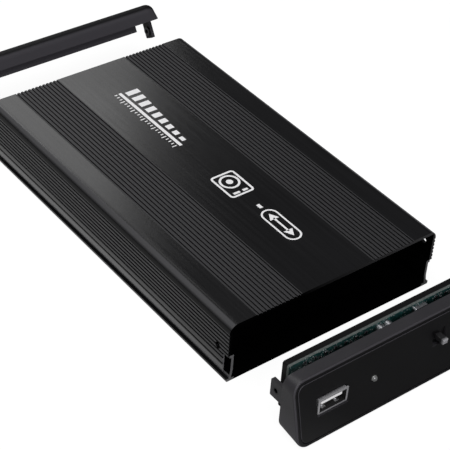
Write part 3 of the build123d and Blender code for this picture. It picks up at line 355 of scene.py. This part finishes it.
def moulded_black(name, shades, lit, gloss):
    """Black ABS: fine spark-eroded grain and a smoother panel in front, with a painted highlight on the rim
    round the panel and on the foot of the left end.
    """
    m = Material(name, (0.01, 0.01, 0.011), 0.42, specular=gloss)
    grain = m.voronoi(4200)
    cloud = m.noise(45)
    forwards = m.times(m.facing("Y"), -1.0)
    panel_face = m.range(forwards, (0.9, 0.96))
    # painted highlight on the rim
    rim = m.both(m.range(forwards, (0.35, 0.6)), m.outside(panel_face))
    # painted highlight on the low part of the left end
    lit_low_end = m.both(m.range(m.facing("X"), (-0.5, -0.9)), m.range(m.place("Z"), LIT_HEIGHTS))
    matt = m.mix(lit_low_end, m.shades(cloud, shades), lit)
    m.color(m.mix(rim, m.mix(panel_face, matt, m.shades(cloud, PANEL_SHADES)), RIM_HIGHLIGHT))
    m.roughness(m.plus(m.range(grain, (0.0, 0.6), (0.4, 0.48)), m.times(panel_face, -0.08)))
    m.bump(grain, 0.022 * MM, edge=0.2 * MM)
    m.bump(cloud, 0.03 * MM)
    return m.data


# ---------------------------------------------------------------- the small pieces' materials
BUTTON_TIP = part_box("power_button")[0].y
# painted highlight: the last stretch of the button towards its tip
BUTTON_LIT_TIP = (BUTTON_TIP + 1.62 * MM, BUTTON_TIP + 0.02 * MM)


def push_button():
    """Dark grey plastic, painted pale at the tip as a highlight."""
    m = Material("button_grey", (0.05, 0.05, 0.052), 0.32)
    grain = m.noise(1800)
    body = m.shades(grain, ((0.012, 0.012, 0.0125), (0.022, 0.022, 0.023)))
    # painted highlight on the tip
    m.color(m.mix(m.range(m.place("Y"), BUTTON_LIT_TIP), body, (0.36, 0.36, 0.37)))
    m.roughness(m.range(grain, MIDDLE, (0.28, 0.38)))
    m.bump(grain, 0.01 * MM, edge=0.2 * MM)
    return m.data


USB_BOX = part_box("usb_shell")
USB_CENTRE = (USB_BOX[0] + USB_BOX[1]) / 2
USB_HALF = (USB_BOX[1] - USB_BOX[0]) / 2
USB_SHEET = 0.65 * MM
NOT_FORWARDS = -0.5


def socket_metal():
    """Nickel-plated sheet, bright outside; within the socket it is rougher and painted near black as shade.
    """
    m = Material("usb_metal", (0.8, 0.8, 0.81), 0.2, 0.7)
    grain = m.noise(2500, detail=4.0)
    across = m.absolute(m.minus(m.place("X"), USB_CENTRE.x))
    up = m.absolute(m.minus(m.place("Z"), USB_CENTRE.z))
    shaded_hollow = m.both(m.under(across, USB_HALF.x - USB_SHEET), m.under(up, USB_HALF.z - USB_SHEET),
                    m.over(m.facing("Y"), NOT_FORWARDS))
    plated = m.shades(grain, ((0.66, 0.66, 0.68), (0.84, 0.84, 0.85)), WIDE)
    # painted shade inside the socket
    m.color(m.mix(shaded_hollow, plated, (0.03, 0.03, 0.03)))
    m.roughness(m.plus(m.range(grain, WIDE, (0.16, 0.26)), m.times(shaded_hollow, 0.4)))
    m.bump(grain, 0.01 * MM, edge=0.12 * MM)
    return m.data


BEHIND_BRIDGE_BOARD = -100 * MM


def circuit_board():
    """Green solder mask with traces and tinned pads, and a pale cut edge of glass fibre."""
    m = Material("circuit_board", (0.01, 0.12, 0.09), 0.32, specular=0.5)
    traces = m.voronoi(300, feature="DISTANCE_TO_EDGE")
    mask = m.mix(m.range(traces, (0.02, 0.05)), (0.03, 0.13, 0.12), (0.01, 0.05, 0.047))
    mask = m.mix(m.range(m.noise(140, detail=2.0), (0.52, 0.6)), mask, (0.012, 0.07, 0.064))
    pads = m.both(m.under(m.voronoi(950, (1, 1, 1.4)), 0.28), m.over(m.noise(330, detail=1.0), 0.52))
    mask = m.mix(pads, mask, (0.55, 0.62, 0.6))
    fibre = m.shades(m.noise(3000, (0.2, 1, 1)), ((0.05, 0.06, 0.056), (0.1, 0.115, 0.108)), (0.35, 0.65))
    standing = m.range(m.absolute(m.facing("Y")), (0.7, 0.8))
    lying = m.both(m.range(m.absolute(m.facing("Z")), (0.9, 0.95)), m.over(m.place("Y"), BEHIND_BRIDGE_BOARD))
    face = m.either(standing, lying)
    m.color(m.mix(face, fibre, mask))
    m.roughness(m.range(face, (0.0, 1.0), (0.75, 0.32)))
    m.bump(traces, 0.03 * MM, edge=0.08 * MM)
    return m.data


def platter():
    """A polished disc with very fine rings."""
    m = Material("platter_mirror", (0.78, 0.78, 0.8), 0.06, 1.0)
    rings = m.noise(1200, (1, 1, 0.01), 2.0)
    m.color(m.shades(rings, ((0.7, 0.7, 0.73), (0.84, 0.84, 0.86))))
    m.roughness(m.range(rings, MIDDLE, (0.05, 0.1)))
    m.bump(rings, 0.002 * MM, edge=0.08 * MM)
    return m.data


def winding():
    """Enamelled copper wire wound in close turns."""
    m = Material("coil_copper", (0.6, 0.26, 0.12), 0.35, 1.0)
    turns = m.noise(2600, (1, 1, 0.02), 1.0)
    m.color(m.shades(turns, ((0.3, 0.11, 0.05), (0.7, 0.33, 0.16)), (0.35, 0.65)))
    m.roughness(m.range(turns, MIDDLE, (0.25, 0.42)))
    m.bump(turns, 0.04 * MM)
    return m.data


CLOUD_SIZE = 30     # the slow variation is this much coarser than the grain


def plain(name, color, darker, roughness, metallic=0.0, specular=0.5, scale=1500, relief=0.01 * MM,
          stretch=(1, 1, 1), coat=0.0, glow=0.0):
    """A material whose colour and roughness vary finely between two shades."""
    m = Material(name, color, roughness, metallic, specular, coat)
    grain = m.noise(scale, stretch, 4.0)
    cloud = m.noise(scale / CLOUD_SIZE)
    m.color(m.mix(m.times(m.range(grain, WIDE), m.range(cloud, (0.2, 0.8), (0.4, 1.0))), darker, color))
    m.roughness(m.plus(m.range(grain, WIDE, (roughness - 0.05, roughness + 0.06)),
                       m.range(cloud, WIDE, (-0.03, 0.03))))
    m.bump(grain, relief, edge=0.08 * MM)
    # glow makes the material give light of its own, painted light
    if glow > 0:
        m.set("Emission Color", (*color, 1))
        m.set("Emission Strength", glow)
    return m.data


# ---------------------------------------------------------------- dressing the nodes
def make_materials():
    """A finished material for each of the record's slots, a darker copy for the rear cap that is painted
    shade, and one for the print.
    """
    along = (1, 0.02, 1)
    return {
        "shell_black": anodised_black(),
        "cap_black": moulded_black("moulded_black", FRONT_CAP_SHADES, FRONT_CAP_LIT, FRONT_CAP_GLOSS),
        # painted shade: a darker copy of the cap plastic
        "rear_cap_shaded_black": moulded_black("moulded_black_rear_shaded", REAR_CAP_SHADED_TONES, REAR_CAP_LIT, REAR_CAP_GLOSS),
        "insert_metal": plain("insert_metal", (0.05, 0.05, 0.052), (0.03, 0.03, 0.032), 0.35, 1.0),
        "board_green": circuit_board(),
        "plate_black": plain("plate_black", (0.003, 0.003, 0.0033), (0.002, 0.002, 0.0022), 0.6,
                             specular=0.15),
        "steel_bright": plain("steel_bright", (0.62, 0.62, 0.63), (0.45, 0.45, 0.46), 0.3, 1.0),
        "chip_black": plain("chip_black", (0.02, 0.02, 0.022), (0.012, 0.012, 0.013), 0.5, relief=0.02 * MM),
        "can_metal": plain("can_metal", (0.66, 0.67, 0.69), (0.5, 0.5, 0.52), 0.28, 1.0),
        "small_parts_pale": plain("small_parts_pale", (0.45, 0.46, 0.42), (0.25, 0.26, 0.24), 0.45),
        "usb_metal": socket_metal(),
        # painted light: the tongue glows a little so it looks brightly lit inside the socket
        "tongue_white": plain("tongue_white", (0.93, 0.93, 0.92), (0.86, 0.86, 0.85), 0.3, glow=0.3),
        "print_white": plain("print_white", (0.92, 0.92, 0.92), (0.86, 0.86, 0.86), 0.5),
        # painted shade: the contacts are much darker than gold, as shade inside the socket
        "contact_gold": plain("contact_gold", (0.2, 0.14, 0.06), (0.14, 0.1, 0.04), 0.35, 1.0, stretch=along),
        "led_lens": plain("led_lens", (0.2, 0.205, 0.2), (0.13, 0.135, 0.13), 0.1, coat=0.8),
        "button_grey": push_button(),
        "jack_black": plain("jack_black", (0.01, 0.01, 0.01), (0.007, 0.007, 0.007), 0.3),
        "cast_metal": plain("cast_metal", (0.48, 0.49, 0.5), (0.33, 0.34, 0.35), 0.48, 1.0, scale=900,
                            relief=0.04 * MM),
        "gasket_black": plain("gasket_black", (0.02, 0.02, 0.02), (0.01, 0.01, 0.01), 0.8, relief=0.05 * MM),
        "cover_steel": plain("cover_steel", (0.58, 0.58, 0.6), (0.44, 0.44, 0.46), 0.3, 1.0, stretch=along),
        "filter_white": plain("filter_white", (0.82, 0.82, 0.8), (0.6, 0.6, 0.58), 0.9, relief=0.1 * MM),
        "platter_mirror": platter(),
        "coil_copper": winding(),
    }


# the rear cap takes the darker copy of the cap plastic, painted shade
OWN_MATERIAL = {"rear_cap": "rear_cap_shaded_black"}


def dress(materials):
    """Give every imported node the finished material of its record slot, or its own."""
    for entry in frame["record"]["subparts"]:
        obj = nodes[entry["node"]]
        material = materials[OWN_MATERIAL.get(entry["node"], entry["material_slot"])]
        for slot in obj.material_slots:
            slot.material = material
        if not obj.material_slots:
            obj.data.materials.append(material)


# ---------------------------------------------------------------- mesh helpers
def make_piece(name, bm, materials, body, replaces=()):
    """Turn a bmesh into a piece of the object that rides on a body."""
    mesh = bpy.data.meshes.new(name)
    bm.to_mesh(mesh)
    bm.free()
    piece = bpy.data.objects.new(name, mesh)
    bpy.context.scene.collection.objects.link(piece)
    for material in materials:
        mesh.materials.append(material)
    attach(piece, body)
    if replaces:
        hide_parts(*replaces)


def add_box(bm, low, high, bevel, slot=0):
    """A box between two corners with softened edges."""
    low, high = Vector(low), Vector(high)
    made = bmesh.ops.create_cube(bm, size=1.0, matrix=Matrix.LocRotScale((low + high) / 2, None, high - low))
    edges = {edge for vert in made["verts"] for edge in vert.link_edges}
    cut = bmesh.ops.bevel(bm, geom=list(edges), offset=bevel, segments=2, affect="EDGES", profile=0.6)
    for face in {face for vert in cut["verts"] for face in vert.link_faces}:
        face.material_index = slot


def add_flat(bm, outline, low, high):
    """A thin slab from an outline of XY points."""
    lower = [bm.verts.new((x, y, low)) for x, y in outline]
    upper = [bm.verts.new((x, y, high)) for x, y in outline]
    bm.faces.new(upper)
    bm.faces.new(lower[::-1])
    for i in range(len(outline)):
        j = (i + 1) % len(outline)
        bm.faces.new((lower[i], lower[j], upper[j], upper[i]))


def add_ring(bm, outer, inner, low, high):
    """A thin band between two outlines with the same number of points."""
    loops = [[bm.verts.new((x, y, z)) for x, y in line] for line, z in
             ((outer, low), (outer, high), (inner, high), (inner, low))]
    count = len(outer)
    for a, b in ((0, 1), (1, 2), (2, 3), (3, 0)):
        for i in range(count):
            j = (i + 1) % count
            bm.faces.new((loops[a][i], loops[a][j], loops[b][j], loops[b][i]))


def arc_points(centre, radius, start, stop, count):
    """Points on an arc between two angles in degrees."""
    angles = [math.radians(start + (stop - start) * i / (count - 1)) for i in range(count)]
    return [(centre[0] + radius * math.cos(a), centre[1] + radius * math.sin(a)) for a in angles]


def circle_points(centre, radius, count=40):
    return arc_points(centre, radius, 0, 360 * (count - 1) / count, count)


def round_rect(centre, width, length, radius, steps=7):
    """A rounded rectangle as a closed outline of points."""
    points = []
    for sx, sy, start in ((1, 1, 0), (-1, 1, 90), (-1, -1, 180), (1, -1, 270)):
        corner = (centre[0] + sx * (width / 2 - radius), centre[1] + sy * (length / 2 - radius))
        points += arc_points(corner, radius, start, start + 90, steps)
    return points


# ---------------------------------------------------------------- the print on the top
# In millimetres, x across and y along the shell. A slab is given by its ends in x and in y.
PRINT_THICKNESS = 0.02

GAUGE_BAR = (-1.4, 0.3, 17.5, 69.0)
BLOCKS = 9
BLOCK_START = 20.0
BLOCK_PITCH = 5.6
BLOCK_WIDTH = 3.3
BLOCK_FOOT = 1.9
BLOCK_TIP = 4.2
BLOCK_GROWTH = 0.62
TICKS = 24
TICK_START = 18.4
TICK_PITCH = 2.16
TICK_WIDTH = 0.6
TICK_FOOT = -2.3
TICK_TIP = -3.9
LONG_TICK_TIP = -4.9
LONG_TICK_EVERY = 4

DRIVE_CENTRE = (1.4, -19.4)
DRIVE_WIDTH = 13.4
DRIVE_LENGTH = 17.6
DRIVE_CORNER = 2.0
DRIVE_STROKE = 1.1
DISK_CENTRE = (1.4, -17.4)
DISK_RADIUS = 5.0
HUB_RADIUS = 1.7
DRIVE_BARS = ((-2.6, 1.0, -26.4, -25.0), (2.6, 5.4, -26.4, -25.0))

ARROW_CENTRE = (1.8, -54.6)
ARROW_FRAME_WIDTH = 8.6
ARROW_FRAME_LENGTH = 24.0
ARROW_FRAME_CORNER = 4.2
ARROW_FRAME_STROKE = 0.9
SHAFT_HALF_WIDTH = 0.5
SHAFT_HALF_LENGTH = 5.4
HEAD_REACH = 9.0
HEAD_HALF_WIDTH = 2.5
HEAD_LENGTH = 4.4
ARROW_DASH = (0.9, 2.7, -40.6, -37.6)


class Print:
    """Flat marks on the top of the shell."""

    def __init__(self):
        self.bm = bmesh.new()
        self.levels = (TOP - PRINT_THICKNESS * MM, TOP + PRINT_THICKNESS * MM)

    def metres(self, points):
        return [(x * MM, y * MM) for x, y in points]

    def patch(self, outline):
        add_flat(self.bm, self.metres(outline), *self.levels)

    def band(self, outer, inner):
        add_ring(self.bm, self.metres(outer), self.metres(inner), *self.levels)

    def slab(self, x0, x1, y0, y1):
        self.patch([(x0, y0), (x1, y0), (x1, y1), (x0, y1)])

    def border(self, centre, width, length, corner, stroke):
        self.band(round_rect(centre, width, length, corner),
                  round_rect(centre, width - 2 * stroke, length - 2 * stroke, corner - stroke))


def print_gauge(marks):
    """A long bar with a row of blocks that grow, and fine ticks on its other side."""
    marks.slab(*GAUGE_BAR)
    for i in range(BLOCKS):
        y = BLOCK_START + i * BLOCK_PITCH
        marks.slab(BLOCK_FOOT, BLOCK_TIP + BLOCK_GROWTH * i, y, y + BLOCK_WIDTH)
    for i in range(TICKS):
        y = TICK_START + i * TICK_PITCH
        marks.slab(TICK_TIP if i % LONG_TICK_EVERY else LONG_TICK_TIP, TICK_FOOT, y, y + TICK_WIDTH)


def print_drive(marks):
    """A disk drive seen from above."""
    marks.border(DRIVE_CENTRE, DRIVE_WIDTH, DRIVE_LENGTH, DRIVE_CORNER, DRIVE_STROKE)
    marks.band(circle_points(DISK_CENTRE, DISK_RADIUS),
               circle_points(DISK_CENTRE, DISK_RADIUS - DRIVE_STROKE))
    marks.patch(circle_points(DISK_CENTRE, HUB_RADIUS))
    for bar in DRIVE_BARS:
        marks.slab(*bar)


def print_arrow(marks):
    """A double arrow in a long frame, with a dash behind it."""
    x, y = ARROW_CENTRE
    marks.border(ARROW_CENTRE, ARROW_FRAME_WIDTH, ARROW_FRAME_LENGTH, ARROW_FRAME_CORNER, ARROW_FRAME_STROKE)
    marks.slab(x - SHAFT_HALF_WIDTH, x + SHAFT_HALF_WIDTH, y - SHAFT_HALF_LENGTH, y + SHAFT_HALF_LENGTH)
    for way in (1, -1):
        tip = y + way * HEAD_REACH
        foot = tip - way * HEAD_LENGTH
        marks.patch([(x, tip), (x + way * HEAD_HALF_WIDTH, foot), (x - way * HEAD_HALF_WIDTH, foot)])
    marks.slab(*ARROW_DASH)


def make_print(materials):
    """Plain white pictograms printed down the middle of the top: a gauge, a disk drive and an arrow."""
    marks = Print()
    print_gauge(marks)
    print_drive(marks)
    print_arrow(marks)
    make_piece("top_print", marks.bm, [materials["print_white"]], "shell")


# ---------------------------------------------------------------- the socket's springs
SPRING_APART = 3.55 * MM
SPRING_HALF_WIDTH = 1.1 * MM
SPRING_LENGTH = 5.0 * MM
SPRING_SETBACK = 1.2 * MM
SPRING_FOOT = 1.01 * MM
SPRING_TOP = 1.25 * MM
SPRING_BEVEL = 0.08 * MM
DIMPLE_SETBACK = 1.8 * MM
DIMPLE_HALF = (0.62 * MM, 0.75 * MM, 0.35 * MM)


def make_socket_springs(materials):
    """Two sprung tabs on the floor of the USB socket, each with a small pressed dimple."""
    mouth = USB_BOX[0].y + SPRING_SETBACK
    foot, top = USB_BOX[0].z + SPRING_FOOT, USB_BOX[0].z + SPRING_TOP
    bm = bmesh.new()
    for side in (-1, 1):
        x = USB_CENTRE.x + side * SPRING_APART
        add_box(bm, (x - SPRING_HALF_WIDTH, mouth, foot), (x + SPRING_HALF_WIDTH, mouth + SPRING_LENGTH, top),
                SPRING_BEVEL)
        dimple = Matrix.LocRotScale((x, mouth + DIMPLE_SETBACK, top), None, DIMPLE_HALF)
        bmesh.ops.create_icosphere(bm, subdivisions=3, radius=1.0, matrix=dimple)
    make_piece("socket_springs", bm, [materials["can_metal"]], "front_cap")


# ---------------------------------------------------------------- the board's small parts
PART_SIZES = ((1.7, 1.1, 0.6), (1.1, 1.7, 0.8), (1.5, 0.9, 0.5))    # width, height, depth in millimetres
PART_PITCH = 2.7 * MM
PART_DROPS = (1.7 * MM, 3.0 * MM)                                   # below the board's top, in turn
LEFT_ROW_START = 0.85 * MM
LEFT_ROW_COUNT = 13
RIGHT_ROW_START = 17.05 * MM                                        # from the row's right end
RIGHT_ROW_COUNT = 7
END_HALF = 0.17 * MM
END_LENGTH = 0.3 * MM
END_BEVEL = 0.04 * MM
BODY_INSET = 0.02 * MM
BODY_DEPTH_SHARE = 0.96
BODY_BEVEL = 0.03 * MM


def add_chip_part(bm, x, z, front, size):
    """A small part soldered flat to the board: a body between two tinned ends along its longer side."""
    width, height, depth = (v * MM for v in size)
    lengthwise = width > height
    half_x = END_HALF if lengthwise else width / 2
    half_z = height / 2 if lengthwise else END_HALF
    for end in (-1, 1):
        end_x = x + end * (width / 2 - END_HALF) * lengthwise
        end_z = z + end * (height / 2 - END_HALF) * (not lengthwise)
        add_box(bm, (end_x - half_x, front - depth, end_z - half_z), (end_x + half_x, front, end_z + half_z),
                END_BEVEL, 1)
    half_x = width / 2 - BODY_INSET - END_LENGTH * lengthwise
    half_z = height / 2 - BODY_INSET - END_LENGTH * (not lengthwise)
    add_box(bm, (x - half_x, front - depth * BODY_DEPTH_SHARE, z - half_z), (x + half_x, front, z + half_z),
            BODY_BEVEL)


def make_small_parts(materials):
    """Chip resistors and capacitors along the board's top, in two rows."""
    low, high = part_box("board_small_parts")
    board_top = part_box("bridge_board")[1].z
    rows = ((low.x + LEFT_ROW_START, LEFT_ROW_COUNT), (high.x - RIGHT_ROW_START, RIGHT_ROW_COUNT))
    bm = bmesh.new()
    for start, count in rows:
        for i in range(count):
            x, z = start + i * PART_PITCH, board_top - PART_DROPS[i % 2]
            add_chip_part(bm, x, z, high.y, PART_SIZES[i % 3])
    make_piece("chip_parts", bm, [materials["chip_black"], materials["can_metal"]], "front_cap",
               ("board_small_parts",))


# ---------------------------------------------------------------- stage and light
WHITE = (1, 1, 1, 1)
ROOM_GREY = (0.08, 0.08, 0.084, 1)


def make_world():
    """White to the camera; an even grey room for everything else."""
    world = bpy.data.worlds.new("room")
    bpy.context.scene.world = world
    world.use_nodes = True
    tree = world.node_tree
    tree.nodes.clear()
    out = tree.nodes.new("ShaderNodeOutputWorld")
    mix = tree.nodes.new("ShaderNodeMixShader")
    path = tree.nodes.new("ShaderNodeLightPath")
    tree.links.new(path.outputs["Is Camera Ray"], mix.inputs[0])
    for socket, color in ((mix.inputs[1], ROOM_GREY), (mix.inputs[2], WHITE)):
        background = tree.nodes.new("ShaderNodeBackground")
        background.inputs["Color"].default_value = color
        tree.links.new(background.outputs[0], socket)
    tree.links.new(mix.outputs[0], out.inputs[0])


FLOOR_SIZE = 8.0
FLOOR_DROP = 0.2 * MM
FLOOR_SHADES = ((0.78, 0.78, 0.78), (0.82, 0.82, 0.82))
GLOW_SHARE = 0.88
GLOW_TO_CAMERA = 1.07
GLOW_IN_GLOSS = (0.05, 0.62)          # in reflections: dark at the front right, bright at the rear left
GLOSS_FADE = (-40 * MM, 50 * MM)
GLOSS_SLANT = 0.4
GLOW_ELSE = 0.32


def make_floor():
    """A pale floor: white to the camera apart from the object's soft shadow, dark in front in reflections."""
    bpy.ops.mesh.primitive_plane_add(size=FLOOR_SIZE, location=(0, 0, -FLOOR_DROP))
    floor = bpy.context.object
    floor.name = "floor"
    m = Material("floor_white", (0.8, 0.8, 0.8), 0.9, specular=0.1)
    m.color(m.shades(m.noise(40), FLOOR_SHADES))
    path = m.node("ShaderNodeLightPath")
    camera, glossy = path.outputs["Is Camera Ray"], path.outputs["Is Glossy Ray"]
    rearward = m.plus(m.times(m.place("X"), -1.0), m.times(m.place("Y"), GLOSS_SLANT))
    shine = m.range(rearward, GLOSS_FADE, GLOW_IN_GLOSS)
    level = m.plus(m.times(camera, GLOW_TO_CAMERA), m.times(glossy, shine))
    level = m.plus(level, m.times(m.outside(m.either(camera, glossy)), GLOW_ELSE))
    glow = m.node("ShaderNodeEmission")
    m.link(level, glow.inputs["Strength"])
    mix = m.node("ShaderNodeMixShader")
    mix.inputs[0].default_value = GLOW_SHARE
    m.link(m.shader.outputs[0], mix.inputs[1])
    m.link(glow.outputs[0], mix.inputs[2])
    m.link(mix.outputs[0], m.tree.nodes["Material Output"].inputs["Surface"])
    floor.data.materials.append(m.data)


def panel(name, azimuth, elevation, distance, size, radiance, color=(1, 1, 1), roll=0.0):
    """A soft light in a direction from the object; azimuth 0 is behind it, 90 to its right."""
    a, e = math.radians(azimuth), math.radians(elevation)
    offset = Vector((math.sin(a) * math.cos(e), math.cos(a) * math.cos(e), math.sin(e))) * distance
    data = bpy.data.lights.new(name, "AREA")
    data.shape = "RECTANGLE"
    data.size, data.size_y = size
    data.energy = radiance * math.pi * size[0] * size[1]
    data.color = color
    lamp = bpy.data.objects.new(name, data)
    aim = (-offset).to_track_quat("-Z", "Y").to_matrix().to_4x4()
    lamp.matrix_world = Matrix.Translation(offset) @ aim @ Matrix.Rotation(math.radians(roll), 4, "Z")
    bpy.context.scene.collection.objects.link(lamp)


def make_lights():
    """Soft boxes: one behind that shines in the top, one overhead, one at the left and one in front."""
    panel("behind", azimuth=13.5, elevation=37, distance=1.7, size=(0.95, 0.9), radiance=1.6, roll=-22)
    panel("overhead", azimuth=-100, elevation=78, distance=1.8, size=(1.4, 1.4), radiance=3.4)
    panel("left", azimuth=-95, elevation=22, distance=1.6, size=(1.2, 0.5), radiance=1.0)
    panel("front", azimuth=195, elevation=34, distance=1.7, size=(0.7, 0.5), radiance=8.0,
          color=(0.97, 0.94, 1.0))


# ---------------------------------------------------------------- build
make_camera()
make_world()
make_floor()
make_lights()
materials = make_materials()
dress(materials)
make_print(materials)
make_small_parts(materials)
make_socket_springs(materials)

bpy.context.scene.view_settings.view_transform = "Standard"
